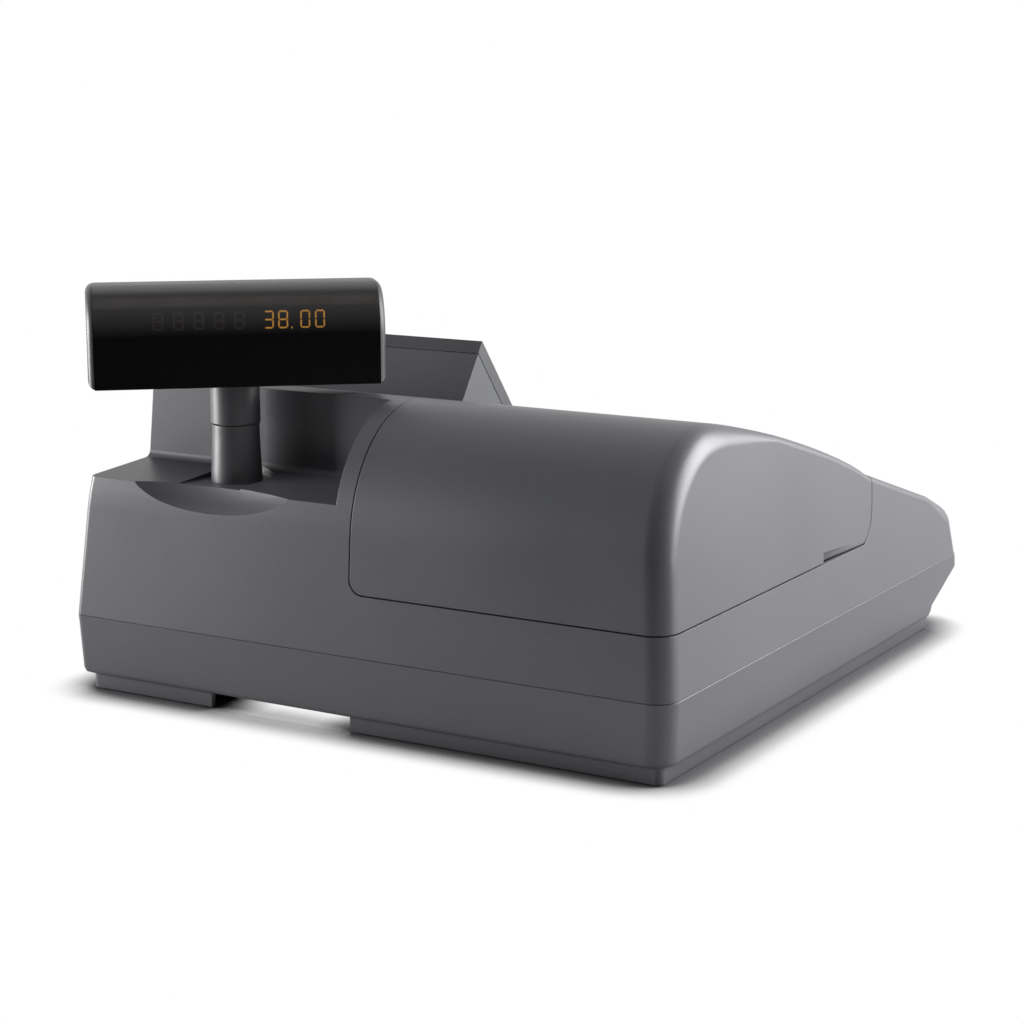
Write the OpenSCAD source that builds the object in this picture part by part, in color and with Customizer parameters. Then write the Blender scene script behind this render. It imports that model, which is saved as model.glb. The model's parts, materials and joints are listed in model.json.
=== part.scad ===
// Counter ticket register: keyboard at the front, a two-station roll printer under a
// hinged cover on the left, and a customer display on a turning pole at the back right.
// Origin: middle of the whole outline on the table, head included.
// +X right as the operator sees it, +Y towards the customer, +Z up.

/* [Case] */
// Width of the plinth
plinth_w = 360; // [350:1:372]
// Depth of the plinth
plinth_d = 370; // [362:1:380]
// Depth position of the plinth's middle
plinth_y = 4; // [2:0.5:6]
// Height of the lower case's underside above the table
plinth_h = 9.5; // [8:0.5:11]
// How far the rubber feet stand out below the plinth
foot_proud = 1; // [0.5:0.25:2]
// How far the case stands out past the plinth on each side
side_reach = 6; // [4:0.5:8]
// How far the case stands out past the plinth at the back
back_reach = 5.6; // [4:0.2:7]
// How far the nose stands out past the plinth at the front
nose_reach = 37; // [33:1:41]
// Height of the line where lower and upper case meet
parting_z = 43.5; // [41:0.5:46]
// Wall thickness of the moulded shells
wall = 2.5; // [2:0.1:3]
// Radius of the nose's corners, the back left corner and the cover's long edge
corner_r = 13; // [11:0.5:15]
// Radius of the other corners and edges of the case
edge_r = 4; // [3.5:0.5:6]
// Visible gap between neighbouring shells
seam = 0.8; // [0.6:0.1:1]

/* [Top profile] */
// Depth position of the cover's front edge, from the middle
deck_y = -70.3; // [-74:0.1:-66]
// Height of the cover's front edge
deck_z = 115.3; // [112:0.1:118]
// Depth position of the highest line, from the middle
dome_y = 127; // [123:0.5:131]
// Height of the highest line
dome_z = 171.4; // [168:0.5:175]
// Height at which the back wall starts to curve forward
rear_z = 105; // [100:1:110]

/* [Printer cover] */
// Side position of the cover's inner seam
cover_x = 2; // [0:0.5:4]
// Height of the cover's lower edge
cover_z = 77; // [74:0.5:80]
// Radius of the cover's lower corner beside the ledge
cover_r = 8; // [6:0.5:10]
// Diameter of the hinge pins
hinge_d = 3.6; // [3:0.2:4]
// Width of the paper slot
slot_w = 62; // [60:1:66]

/* [Display ledge] */
// Width of the rib left between the cover and the ledge
rib_w = 10; // [8:0.5:12]
// Height of the ledge at its back edge
ledge_z = 121.5; // [119:0.5:124]
// Rise of the ledge towards the wall behind it
ledge_rise = 4; // [2:0.5:6]
// Depth position of the wall behind the ledge, from the middle
ledge_y = 135; // [133:0.5:137]

/* [Customer display] */
// Side position of the pole
pole_x = 100.2; // [96:0.5:104]
// Depth position of the pole
pole_y = 155.5; // [154:0.5:158]
// Diameter of the turning tube
pole_d = 27.2; // [26:0.2:30]
// Height of the head's underside
head_z = 177; // [175.5:0.1:180]
// Width of the head
head_w = 160; // [150:1:164]
// Height of the head
head_h = 54.3; // [52:0.1:60]
// Turn of the head away from straight back, in degrees
head_turn = 40.7; // [30:0.1:45]

/* [Operator display] */
// Height of the hood's top edge
hood_z = 192; // [189:0.5:195]
// Depth position of the hood's top edge
hood_y = 40; // [38:0.5:43]
// Tilt of the operator's screen from level, in degrees
hood_tilt = 50.7; // [48:0.5:53]
// Thickness of the front bezel
bezel_t = 7.5; // [6.5:0.5:8.5]

/* [Keyboard] */
// Pitch of the keys across
key_px = 21.5; // [21.2:0.1:22]
// Pitch of the keys along the slope
key_py = 18.5; // [18.2:0.1:18.8]
// Width of a key cap
cap_w = 17; // [15.5:0.5:17.5]
// Travel of a key
key_travel = 2.5; // [1.5:0.5:3]

/* [Printer] */
// Width of a paper roll
roll_w = 57.5; // [55:0.5:58]
// Diameter of a full paper roll
roll_d = 76; // [70:1:78]
// Diameter of the rubber platen
platen_d = 15; // [14:0.5:16]
// Teeth on a platen gear
gear_teeth = 30; // [28:2:32]
// Teeth on a motor pinion
pinion_teeth = 12; // [10:1:14]

/* [Hidden] */
// Fit gaps: a running shaft, a loose seat and a piece that moves freely
run = 0.05;
seat = 0.2;
free = 0.6;

x_case = plinth_w / 2 + side_reach;
y_back = plinth_y + plinth_d / 2 + back_reach;
y_nose = plinth_y - plinth_d / 2 - nose_reach;
taper_l = 0.0657;
taper_r = 0.1;
taper_b = 0.0657;
nose_lean = 1 / 3;
deck_slope = 0.302;
deck_a = atan(deck_slope);
shoulder_r = 16;
below = 20;

KEYS = [
  // name, column, row, rows tall, colour group
  ["key_00", 1, 0, 1, 0], ["key_0", 2, 0, 1, 0], ["key_point", 3, 0, 1, 0],
  ["key_1", 1, 1, 1, 0], ["key_2", 2, 1, 1, 0], ["key_3", 3, 1, 1, 0],
  ["key_4", 1, 2, 1, 0], ["key_5", 2, 2, 1, 0], ["key_6", 3, 2, 1, 0],
  ["key_7", 1, 3, 1, 0], ["key_8", 2, 3, 1, 0], ["key_9", 3, 3, 1, 0],
  ["key_quantity", 1, 4, 1, 1], ["key_price", 2, 4, 1, 1], ["key_clear", 3, 4, 1, 3],
  ["key_feed", 0, 4, 1, 1], ["key_void", 0, 2, 2, 1],
  ["key_refund", 0, 1, 1, 1], ["key_no_sale", 0, 0, 1, 1],
  ["key_card", 4, 4, 1, 1], ["key_credit", 4, 3, 1, 1],
  ["key_subtotal", 4, 2, 1, 1], ["key_total", 4, 0, 2, 2]
];
$fn = 48;

// ---------------------------------------------------------------- curves and lofts
function unit(v) = v / norm(v);
function bez(a, b, c, d, t) =
  pow(1 - t, 3) * a + 3 * t * pow(1 - t, 2) * b + 3 * t * t * (1 - t) * c + pow(t, 3) * d;
function bez_run(a, b, c, d, n) = [for (k = [1:n]) bez(a, b, c, d, k / n)];
// Rounds the corner b between the lines from a and to c, with radius r
function fillet(a, b, c, r, n) =
  let (u = unit(a - b), v = unit(c - b))
  let (h = acos(u * v) / 2, m = b + unit(u + v) * r / sin(h), t = r / tan(h))
  let (p = b + u * t, q = b + v * t)
  let (a0 = atan2(p[1] - m[1], p[0] - m[0]), a1 = atan2(q[1] - m[1], q[0] - m[0]))
  let (d = a1 - a0 > 180 ? a1 - a0 - 360 : (a1 - a0 < -180 ? a1 - a0 + 360 : a1 - a0))
  [for (k = [0:n]) m + r * [cos(a0 + d * k / n), sin(a0 + d * k / n)]];
// Moves every side of a clockwise outline inward by d, or each corner by its own d
function inset(p, d) =
  let (n = len(p))
  [for (k = [0:n - 1])
    let (e = unit(p[k] - p[(k + n - 1) % n]), f = unit(p[(k + 1) % n] - p[k]))
    let (g = [e[1], -e[0]], h = [f[1], -f[0]])
    p[k] + (is_num(d) ? d : d[k]) * (g + h) / (1 + g * h)];

// Skins a row of rings that all have the same number of points
module loft(rings) {
  n = len(rings[0]);
  m = len(rings);
  polyhedron(
    points = [for (r = rings) each r],
    faces = concat(
      [[for (k = [n - 1:-1:0]) k]],
      [for (j = [0:m - 2], k = [0:n - 1]) each
        let (a = j * n + k, b = j * n + (k + 1) % n) [[a, b, b + n], [a, b + n, a + n]]],
      [[for (k = [0:n - 1]) (m - 1) * n + k]]));
}
// Draws a (y, z) outline from x = a to x = b
module across(a, b) {
  translate([a, 0, 0]) rotate([90, 0, 90]) linear_extrude(b - a) children();
}
module box(a, b) {
  translate(a) cube(b - a);
}
// A box from x0 to x1 and z0 to z1 that reaches d to both sides of y = 0
module band(x0, x1, d, z0, z1) {
  box([x0, -d, z0], [x1, d, z1]);
}
// A bar along X from a to b, centred on (y, z)
module rod(a, b, y, z, r) {
  translate([a, y, z]) rotate([0, 90, 0]) cylinder(h = b - a, r = r);
}
module slab(w, d, h, r) {
  linear_extrude(h) hull() for (i = [-1, 1], j = [-1, 1])
    translate([i * (w / 2 - r), j * (d / 2 - r)]) circle(r, $fn = 24);
}

// ---------------------------------------------------------------- outer form
function front_y(z) = y_nose + (z - parting_z) * nose_lean;
function rear_y(z) = y_back - (z - parting_z) * taper_b;
function deck_at(y) = deck_z + (y - deck_y) * deck_slope;
deck_edge = [deck_y, deck_z];
dome_top = [dome_y, dome_z];
front_bend = [40, 20];
rise_bend = 22;
over_bend = 34;
rear_bend = 38;
function rise(t) = bez(deck_edge, deck_edge + front_bend, dome_top - [rise_bend, 0], dome_top, t);
// Slope of that curve at t, in degrees, measured over h to both sides
function slope_at(t, h) = let (d = rise(t + h) - rise(t - h)) atan2(d[1], d[0]);
// Where the lines of nose and deck would meet
corner_y = (y_nose + (deck_z - deck_y * deck_slope - parting_z) * nose_lean)
  / (1 - deck_slope * nose_lean);
shoulder = [corner_y, deck_at(corner_y)];
rear_top = [rear_y(rear_z), rear_z];
// Where the nose's large edge radius has run out
nose_end = [corner_y + 42, deck_at(corner_y + 42)];
// Side view of the whole case above the parting line, clockwise from the front bottom
function case_profile(n = 14) = concat(
  [[front_y(parting_z - below), parting_z - below]],
  fillet([front_y(parting_z), parting_z], shoulder, deck_edge, shoulder_r, 6),
  [nose_end, deck_edge],
  bez_run(deck_edge, deck_edge + front_bend, dome_top - [rise_bend, 0], dome_top, n),
  bez_run(dome_top, dome_top + [over_bend, 0], rear_top - rear_bend * unit([taper_b, -1]),
    rear_top, n),
  [[rear_y(parting_z - below), parting_z - below]]);

// 0 before a, 1 after b and a straight run between them
function ramp(v, a, b) = max(0, min(1, (v - a) / (b - a)));
round_from = 57;
// Edge radius at depth y: large round the nose and, on the left, round the printer
function edge_at(side, y) = edge_r + (corner_r - edge_r) * (y < nose_end[0] - 1
  ? 1 : side < 0 ? ramp(y, round_from, dome_y) : 0);
// One slice of the case: side is -1 or 1, a runs from 0 at the flat to 90 at the end face
function slice(p, side, draft, i, a) =
  let (r = [for (v = p) edge_at(side, v[0]) - i])
  let (q = inset(p, [for (t = r) i + t * (1 - cos(a))]))
  [for (k = [0:len(p) - 1])
    [side * (x_case - i - r[k] * (1 - sin(a)) - draft * (q[k][1] - parting_z)), q[k][0], q[k][1]]];
// The case as one solid, every wall moved in by i
module case_form(i = 0) {
  p = case_profile();
  step = 15;
  loft(concat(
    [for (a = [90:-step:0]) slice(p, -1, taper_l, i, a)],
    [for (a = [0:step:90]) slice(p, 1, taper_r, i, a)]));
}

// Side view of the printer cover, grown by g
cover_nose = [[-12, 0], [-5.5, 3.5], [0, 10], [2.4, 18], [3.4, 29], [4, 39]];
function cover_area(g) = concat(
  [for (v = cover_nose) [deck_y - v[0] - g, cover_z + v[1] - (v[1] == 0 ? g : 0)]],
  [[deck_y - 4 - g, dome_z + 20], [y_back + 20, dome_z + 20], [y_back + 20, cover_z - g]]);
// Everything the cover takes up, grown by g at its front and lower edges, up to x = b
module cover_space(g, b) {
  difference() {
    across(-x_case - 9, b) polygon(cover_area(g));
    // round corner of the back face, where the lower edge meets the inner seam
    translate([0, y_back - 2 * corner_r, 0]) difference() {
      box([cover_x - seam - cover_r, 0, cover_z - g - 1], [b + 1, 3 * corner_r, cover_z + cover_r]);
      translate([cover_x - seam - cover_r, -1, cover_z + cover_r]) rotate([-90, 0, 0])
        cylinder(h = 3 * corner_r + 2, r = cover_r + b - cover_x + seam);
    }
  }
}

// ---------------------------------------------------------------- lower case
// Height, inward offset of sides and back, and front position of each ring
under_y = plinth_y - plinth_d / 2 - 4;
lip = 0.8;
groove = 0.6;
LOWER = [
  [plinth_h, 4, under_y + 3.4], [plinth_h + 0.8, 2.3, under_y + 3], [plinth_h + 3, 1.5, under_y + 2.2],
  [plinth_h + 7, 1.3, under_y], [parting_z - 9.5, 0.5, y_nose - 3],
  [parting_z - 8, 0.45, y_nose - 3.4], [parting_z - 3, 0.2, y_nose - 2],
  [parting_z - groove, 0, y_nose - lip], [parting_z, groove, y_nose - lip + groove]];
HOLLOW = [
  [plinth_h + wall, 4, under_y + 5], [plinth_h + 7, 1.3, under_y + wall],
  [parting_z - 9.5, 0.5, y_nose - 2], [parting_z + 1, 0, y_nose - lip + 1]];
// Level outline with rounded corners, smallest at the back right, clockwise seen from above
function plan(x, yf, yb, i, z) = [
  for (c = [[1, 1, 360], [-1, 1, 270], [-1, -1, 180], [1, -1, 90]], a = [0:15:90])
  let (t = c[2] - a, r = (c[2] == 90 ? edge_r : corner_r) - i)
  [c[0] * (x - r) + r * cos(t), (c[1] > 0 ? yf : yb) + c[1] * r + r * sin(t), z]];
module lower_form(rings, i) {
  loft([for (v = rings) plan(x_case - v[1] - i, v[2] + i, y_back - v[1] - i, i, v[0])]);
}
POSTS = [for (x = [-1, 1], y = [-148, 24, 154]) [x * (x_case - 17), y]];
post_r = 4.5;
post_z = 30;
post_top = 57;
screw_r = 1.5;
// Cable bay under the back, open below and through the gap in the plinth
bay_x0 = cover_x + 2.2;
bay_x1 = bay_x0 + 91.3;
bay_y = 134;
bay_h = 26;
skirt = 3;
// Two banks of air slots in the floor
VENTS = 7;
vent_x = 90;
vent_y = -23;
vent_step = 8;
vent_l = 60;
vent_w = 2.5;
module lower_case() {
  color("#3b3d40") difference() {
    union() {
      difference() {
        lower_form(LOWER, 0);
        lower_form(HOLLOW, wall);
      }
      // skirt of the plinth
      translate([0, plinth_y, foot_proud]) difference() {
        slab(plinth_w, plinth_d, plinth_h - foot_proud + 0.5, 4);
        translate([0, 0, -1]) slab(plinth_w - 2 * skirt, plinth_d - 2 * skirt, plinth_h + 2, 2);
      }
      // roof and walls of the cable bay
      box([bay_x0 - wall, bay_y - wall, plinth_h], [bay_x1 + wall, y_back - 6, plinth_h + bay_h + wall]);
      for (p = POSTS) translate([p[0], p[1], plinth_h]) cylinder(h = post_z - plinth_h, r = post_r);
    }
    box([bay_x0, bay_y, foot_proud - 1], [bay_x1, y_back - 6 - wall, plinth_h + bay_h]);
    box([bay_x0, y_back - 12, foot_proud - 1], [bay_x1, y_back + 5, plinth_h]);
    for (p = POSTS) {
      translate([p[0], p[1], plinth_h - 1]) cylinder(h = post_z, r = screw_r + 0.3);
      translate([p[0], p[1], plinth_h - 1]) cylinder(h = screw_z - plinth_h + 1, r = screw_head_r + 0.3);
    }
    // air slots in the floor
    for (x = [-1, 1], j = [0:VENTS - 1])
      translate([x * vent_x, vent_y + j * vent_step, plinth_h - 1])
        box([-vent_l / 2, -vent_w / 2, 0], [vent_l / 2, vent_w / 2, wall + 2]);
    // openings for the socket panel, the jack and the switch
    box([panel_x0, bay_y - wall - 1, panel_z0], [panel_x1, bay_y + 1, panel_z1]);
    translate(jack_at) box([-jack_w / 2, -jack_w / 2, -1], [jack_w / 2, jack_w / 2, wall + 1]);
    box([x_case - 9, switch_y - switch_w / 2, switch_z - switch_hh / 2],
      [x_case + 2, switch_y + switch_w / 2, switch_z + switch_hh / 2]);
  }
}

// ---------------------------------------------------------------- feet and screws
foot_r = 9;
foot_in = 22;
module rubber_feet() {
  color("#1c1c1d") for (x = [-1, 1], y = [-1, 1])
    translate([x * (plinth_w / 2 - foot_in), plinth_y + y * (plinth_d / 2 - foot_in), 0]) difference() {
      cylinder(h = plinth_h, r = foot_r);
      translate([0, 0, -1]) cylinder(h = 3, r = foot_r / 3);
    }
}
screw_z = plinth_h + 5;
screw_head_r = 2.9;
screw_len = 34;
module case_screws() {
  color("#9a9c9e") for (p = POSTS) translate([p[0], p[1], 0]) {
    translate([0, 0, screw_z - 2.2]) difference() {
      cylinder(h = 2.2, r = screw_head_r);
      translate([-2, -0.4, -1]) cube([4, 0.8, 2]);
      translate([-0.4, -2, -1]) cube([0.8, 4, 2]);
    }
    translate([0, 0, screw_z]) cylinder(h = screw_len, r = screw_r);
  }
}

// ---------------------------------------------------------------- upper case
rib_x = cover_x + rib_w;
// Side view of the hollow above the ledge, grown by g
ledge_r = 4;
function ledge_area(g) = concat(
  fillet([ledge_y - g, dome_z + 20], [ledge_y - g, ledge_z + ledge_rise - g],
    [y_back + 20, ledge_z - g - 1], ledge_r + g, 5),
  [[y_back + 20, ledge_z - g - 1], [y_back + 20, dome_z + 20], [ledge_y - g, dome_z + 20]]);
pocket_r = 20;
pocket_z = ledge_z + 0.6;
// Crescent cut into the ledge's back edge by a barrel that leans back
scoop_w = 111;
scoop_d = 9.2;
scoop_a = 52;
scoop_crown = 22;
scoop_l = 24;
scoop_x = pole_x - 6;
scoop_r = (pow(scoop_w / 2, 2) + pow(scoop_d, 2)) / (2 * scoop_d);
module scoop(g) {
  translate([scoop_x, rear_y(ledge_z), ledge_z]) rotate([-scoop_a, 0, 0])
    translate([0, 0, scoop_r - scoop_d]) rotate([-90, 0, 0]) rotate_extrude($fn = 180)
      polygon(concat([[0, -scoop_l]],
        [for (v = [-scoop_l:3:scoop_l]) [scoop_r + g - v * v / (2 * scoop_crown), v]],
        [[0, scoop_l]]));
}
module pole_pocket(g) {
  translate([pole_x, pole_y, pocket_z - g]) cylinder(h = 30, r = pocket_r + g);
  box([pole_x - pocket_r - g, pole_y, pocket_z - g], [pole_x + pocket_r + g, y_back + 10, pocket_z + 30]);
}
// Places a child on the sloping deck: across, up the slope and above the surface
deck_mid = deck_y - 59.7;
module on_deck() {
  translate([0, deck_mid, deck_at(deck_mid)]) rotate([deck_a, 0, 0]) children();
}
keys_half = x_case - 22;
rim = 5;
frame_t = 3;
// Depth of the keyboard opening along the slope
keys_d = 5 * key_py + 2 * rim + 1.5;
spigot_r = pole_d / 2 - 2.4;
module case_post(p) {
  s = sign(p[0]);
  wall_x = x_case - wall / 2 - (s > 0 ? taper_r : taper_l) * (post_top - parting_z);
  translate([p[0], p[1], post_z + 0.3]) cylinder(h = post_top - post_z, r = post_r);
  box([min(p[0], s * wall_x), p[1] - 1.2, parting_z + 2], [max(p[0], s * wall_x), p[1] + 1.2, post_top]);
}
module upper_case() {
  color("#404246") difference() {
    union() {
      difference() {
        case_form(0);
        // hollow inside, leaving the walls of ledge, pocket and rib
        difference() {
          case_form(wall);
          across(rib_x - wall, x_case) polygon(ledge_area(wall));
          intersection() {
            scoop(wall);
            across(rib_x - wall, x_case) polygon(ledge_area(30));
          }
          pole_pocket(wall);
          box([cover_x, deck_y + 4, parting_z], [cover_x + wall, y_back, dome_z + 5]);
          box([-x_case, deck_y + 7, cover_z - 30], [cover_x + wall, deck_y + 7 + wall, deck_z - 8]);
          on_deck() band(-keys_half - rim, keys_half + rim, keys_d / 2 + rim, -frame_t - 3.6, 0);
        }
        across(rib_x, x_case + 9) polygon(ledge_area(0));
        scoop(0);
        pole_pocket(0);
        box([-x_case - 9, -plinth_d, 0], [x_case + 9, plinth_d, parting_z]);
      }
      for (p = POSTS) case_post(p);
    }
    cover_space(seam, cover_x);
    for (p = POSTS) translate([p[0], p[1], post_z])
      cylinder(h = screw_z + screw_len + 2 - post_z, r = screw_r + run);
    // keyboard opening with its rebate
    on_deck() band(-keys_half, keys_half, keys_d / 2, -frame_t - seat, 9);
    on_deck() band(-keys_half + rim, keys_half - rim, keys_d / 2 - rim, -20, 9);
    translate([pole_x, pole_y, pocket_z - 9]) cylinder(h = 20, r = spigot_r + 1 + seat);
    on_rise(lock_t, lock_x) translate([0, 0, -9]) cylinder(h = 20, r = lock_r + seat);
    // cable way up into the operator display
    box([hood_x0 + 40, hood_y - 16, 120], [hood_x0 + 60, hood_y - 4, dome_z]);
  }
}

// ---------------------------------------------------------------- printer cover
hinge_in = 6;
hinge_up = 24;
hinge_z = cover_z + hinge_up;
hinge_y = rear_y(hinge_z) - hinge_in;
lug_r = 6;
lug_t = 3.5;
arm_t = 2.5;
arm_r = 3.1;
lug_gap = 0.3;
// Left ends of the two lugs on the cover and of the two arms beside them
LUGS = [-x_case + taper_l * (hinge_z - parting_z) + corner_r + 2, cover_x - seam - 10];
ARMS = [LUGS[0] + lug_t + lug_gap, LUGS[1] - lug_gap - arm_t];
slot_t = 0.255;
slot_at = rise(slot_t);
slot_a = slope_at(slot_t, 0.02);
// Outer faces of the printer's side plates, and the middle of each paper station
frame_x0 = -x_case + 12;
frame_x1 = ARMS[1] + arm_t;
gear_w = 5;
gear_gap = 0.6;
receipt_x = frame_x1 - arm_t - gear_gap - gear_w - 1.05 - roll_w / 2;
journal_x = frame_x0 + arm_t + gear_gap + gear_w + 4.15 + roll_w / 2;
slot_gap = 7;
// Thumb dent in the cover's lower left edge, cut by a leaning round tool into a thicker pad
grip_y = 0;
grip_l = 60;
grip_r = 12;
grip_d = 3;
grip_pad = 6.5;
grip_drop = 2;
grip_x = -x_case + taper_l * (cover_z - parting_z);
module grip_tool() {
  translate([grip_x + grip_d - sqrt(pow(grip_r, 2) - pow(grip_drop, 2)), grip_y, cover_z - grip_drop])
    rotate([0, 0, -atan(grip_d / grip_l)]) rotate([90, 0, 0]) cylinder(h = grip_l + 4, r = grip_r);
}
module printer_cover() {
  color("#46484c") difference() {
    union() {
      intersection() {
        difference() {
          case_form(0);
          case_form(wall);
        }
        cover_space(0, cover_x - seam);
      }
      intersection() {
        for (x = LUGS) rod(x, x + lug_t, hinge_y, hinge_z, lug_r);
        across(-x_case, cover_x) polygon(inset(case_profile(), wall / 2));
      }
      intersection() {
        case_form(wall / 2);
        box([-x_case, grip_y - grip_l, cover_z], [grip_x + grip_pad, grip_y + 5, cover_z + grip_r]);
      }
    }
    for (x = LUGS) rod(x - 1, x + lug_t + 1, hinge_y, hinge_z, hinge_d / 2 + run);
    translate([receipt_x, slot_at[0], slot_at[1]]) rotate([slot_a, 0, 0])
      box([-slot_w / 2, -slot_gap / 2, -9], [slot_w / 2, slot_gap / 2, 9]);
    grip_tool();
  }
}
module hinge_pins() {
  color("#b8babc") {
    rod(LUGS[0], ARMS[0] + arm_t, hinge_y, hinge_z, hinge_d / 2);
    rod(ARMS[1], LUGS[1] + lug_t, hinge_y, hinge_z, hinge_d / 2);
  }
}
TEETH = 20;
module tear_bar() {
  tooth = slot_w / TEETH;
  color("#c9cbcd") translate([receipt_x, slot_at[0], slot_at[1]]) rotate([slot_a, 0, 0])
    translate([0, -slot_gap / 2 - 8.4, 0.25]) linear_extrude(0.8) union() {
      translate([-slot_w / 2, 0]) square([slot_w, 7.2]);
      for (j = [0:TEETH - 1]) translate([-slot_w / 2 + j * tooth, 7])
        polygon([[0, 0], [tooth, 0], [tooth / 2, 1.6]]);
    }
}

// ---------------------------------------------------------------- operator display
hood_x0 = rib_x - 0.5;
hood_x1 = x_case - 25;
hood_back = [23, -33.5];
hood_top = [hood_y, hood_z];
screen_down = [-cos(hood_tilt), -sin(hood_tilt)];
screen_in = [sin(hood_tilt), -cos(hood_tilt)];
// The point s down the screen face and d behind it
function screen(s, d) = hood_top + s * screen_down + d * screen_in;
// Side view of a flat piece from s0 to s1 down the screen and from d0 to d1 behind it
function pane(s0, s1, d0, d1) = [screen(s0, d0), screen(s0, d1), screen(s1, d1), screen(s1, d0)];
hood_len = 82;
// The point on the hood's back that lies d behind the screen face
function back_at(d) = hood_top + d / (unit(hood_back) * screen_in) * unit(hood_back);
function hood_side() = [back_at(bezel_t + 0.5), hood_top + 1.5 * hood_back,
  screen(hood_len, bezel_t + 0.5)];
module above_case() {
  difference() {
    children();
    across(hood_x0 - 5, hood_x1 + 5) polygon(inset(case_profile(), -seat));
  }
}
module display_hood() {
  color("#3f4145") difference() {
    above_case() difference() {
      across(hood_x0, hood_x1) polygon(hood_side());
      across(hood_x0 + wall, hood_x1 - wall) polygon(inset(hood_side(), wall));
    }
    // the front is closed by the bezel
    across(hood_x0 + 8, hood_x1 - 8) polygon(pane(8, 44, bezel_t - 1, bezel_t + 8));
  }
}
win_s0 = 12;
win_s1 = 42;
win_half = (hood_x1 - hood_x0) / 2 - 13;
win_t = 2.2;
// Draws a (y, z) outline w to both sides of the hood's middle
module across_middle(w) {
  across((hood_x0 + hood_x1) / 2 - w, (hood_x0 + hood_x1) / 2 + w) children();
}
module hood_bezel() {
  color("#34363a") difference() {
    above_case() across(hood_x0, hood_x1)
      polygon([hood_top, back_at(bezel_t), screen(hood_len, bezel_t), screen(hood_len, 0)]);
    across_middle(win_half) polygon(pane(win_s0, win_s1, -1, win_t));
    across_middle(win_half - 4) polygon(pane(win_s0 + 3, win_s1 - 3, -1, 20));
  }
}
module operator_window() {
  color("#20262c") across_middle(win_half - seat)
    polygon(pane(win_s0 + seat, win_s1 - seat, 0.2, win_t));
}
// Depth of the panel's board, just behind the bezel
lcd_d = bezel_t + run;
module operator_lcd() {
  color("#5f6f45") union() {
    across_middle(win_half - 4.5) polygon(pane(win_s0 + 3.5, win_s1 - 3.5, 3, lcd_d + 0.1));
    across_middle(win_half + 2) polygon(pane(win_s0 - 2, win_s1 + 1, lcd_d, lcd_d + 1.6));
  }
}

// ---------------------------------------------------------------- customer display
pole_seam = 154.3;
bore_r = spigot_r - 2.4;
nut_z = pocket_z - wall;
module at_pole() {
  translate([pole_x, pole_y, 0]) children();
}
module pole_base() {
  color("#37393c") at_pole() rotate_extrude() difference() {
    polygon([
      [0, nut_z - 12], [spigot_r + 1, nut_z - 12], [spigot_r + 1, nut_z - 5.2], [spigot_r + 5, nut_z - 5.2],
      [spigot_r + 5, nut_z - 0.2], [spigot_r + 1, nut_z - 0.2], [spigot_r + 1, pocket_z],
      [pole_d / 2 + 0.5, pocket_z], [pole_d / 2 + 0.3, pocket_z + 6],
      [pole_d / 2 - 0.5, pole_seam - 8], [pole_d / 2 - 0.6, pole_seam - 0.5], [0, pole_seam - 0.5]]);
    translate([0, nut_z - 20]) square([bore_r, 100]);
    translate([0, pole_seam - 22]) square([spigot_r + run, 40]);
  }
}
module pole_tube() {
  color("#37393c") at_pole() rotate_extrude() difference() {
    polygon([
      [0, pole_seam - 21.9], [spigot_r, pole_seam - 21.9], [spigot_r, pole_seam],
      [pole_d / 2 - 0.3, pole_seam], [pole_d / 2, pole_seam + 0.5], [pole_d / 2, head_z - 0.3],
      [spigot_r, head_z - 0.3], [spigot_r, head_z + 6], [0, head_z + 6]]);
    square([bore_r, head_z + 10]);
  }
}
// Side view of the head, facing +Y, clockwise from the bottom back
head_front = 23;
head_rear = 25;
head_brow = 27;
head_crown = 14;
head_off = -1;
function head_profile() = concat(
  [[-6, 0], [-head_rear + 3, head_h * 0.36], [-head_rear, head_h * 0.62]],
  [for (a = [20:14:90]) [-head_rear + head_crown * (1 - cos(a)), head_h - head_crown * (1 - sin(a))]],
  [for (a = [90:-10:0]) [head_front * cos(a), head_h - head_brow * (1 - sin(a))]],
  [[head_front, 0]]);
module at_head() {
  at_pole() rotate([0, 0, head_turn]) translate([head_off, 0, head_z]) children();
}
end_r = 5;
function head_slice(side, i, a) =
  [for (v = inset(head_profile(), i + (end_r - i) * (1 - cos(a))))
    [side * (head_w / 2 - i - (end_r - i) * (1 - sin(a))), v[0], v[1]]];
module head_form(i) {
  loft(concat([for (a = [90:-18:0]) head_slice(-1, i, a)], [for (a = [0:18:90]) head_slice(1, i, a)]));
}
// Band along the front of the head's side view, from depth a to depth b inside it
function front_band(a, b) =
  let (p = inset(head_profile(), a), q = inset(head_profile(), b), n = len(p), k0 = n - 10)
  concat([for (k = [k0:n - 1]) p[k]], [for (k = [n - 1:-1:k0]) q[k]]);
lens_t = 2;
lens_half = head_w / 2 - 3.5;
module head_shell() {
  color("#7b7f84") at_head() difference() {
    head_form(0);
    head_form(wall);
    across(-lens_half - seat, lens_half + seat) polygon(front_band(-3, lens_t + seat));
    across(-lens_half + 3, lens_half - 3) polygon(front_band(-3, 9));
    translate([-head_off, 0, -1]) cylinder(h = 9, r = spigot_r + run);
  }
}
module head_lens() {
  color("#0c0c0d") at_head() across(-lens_half, lens_half) polygon(front_band(0, lens_t));
}
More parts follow.
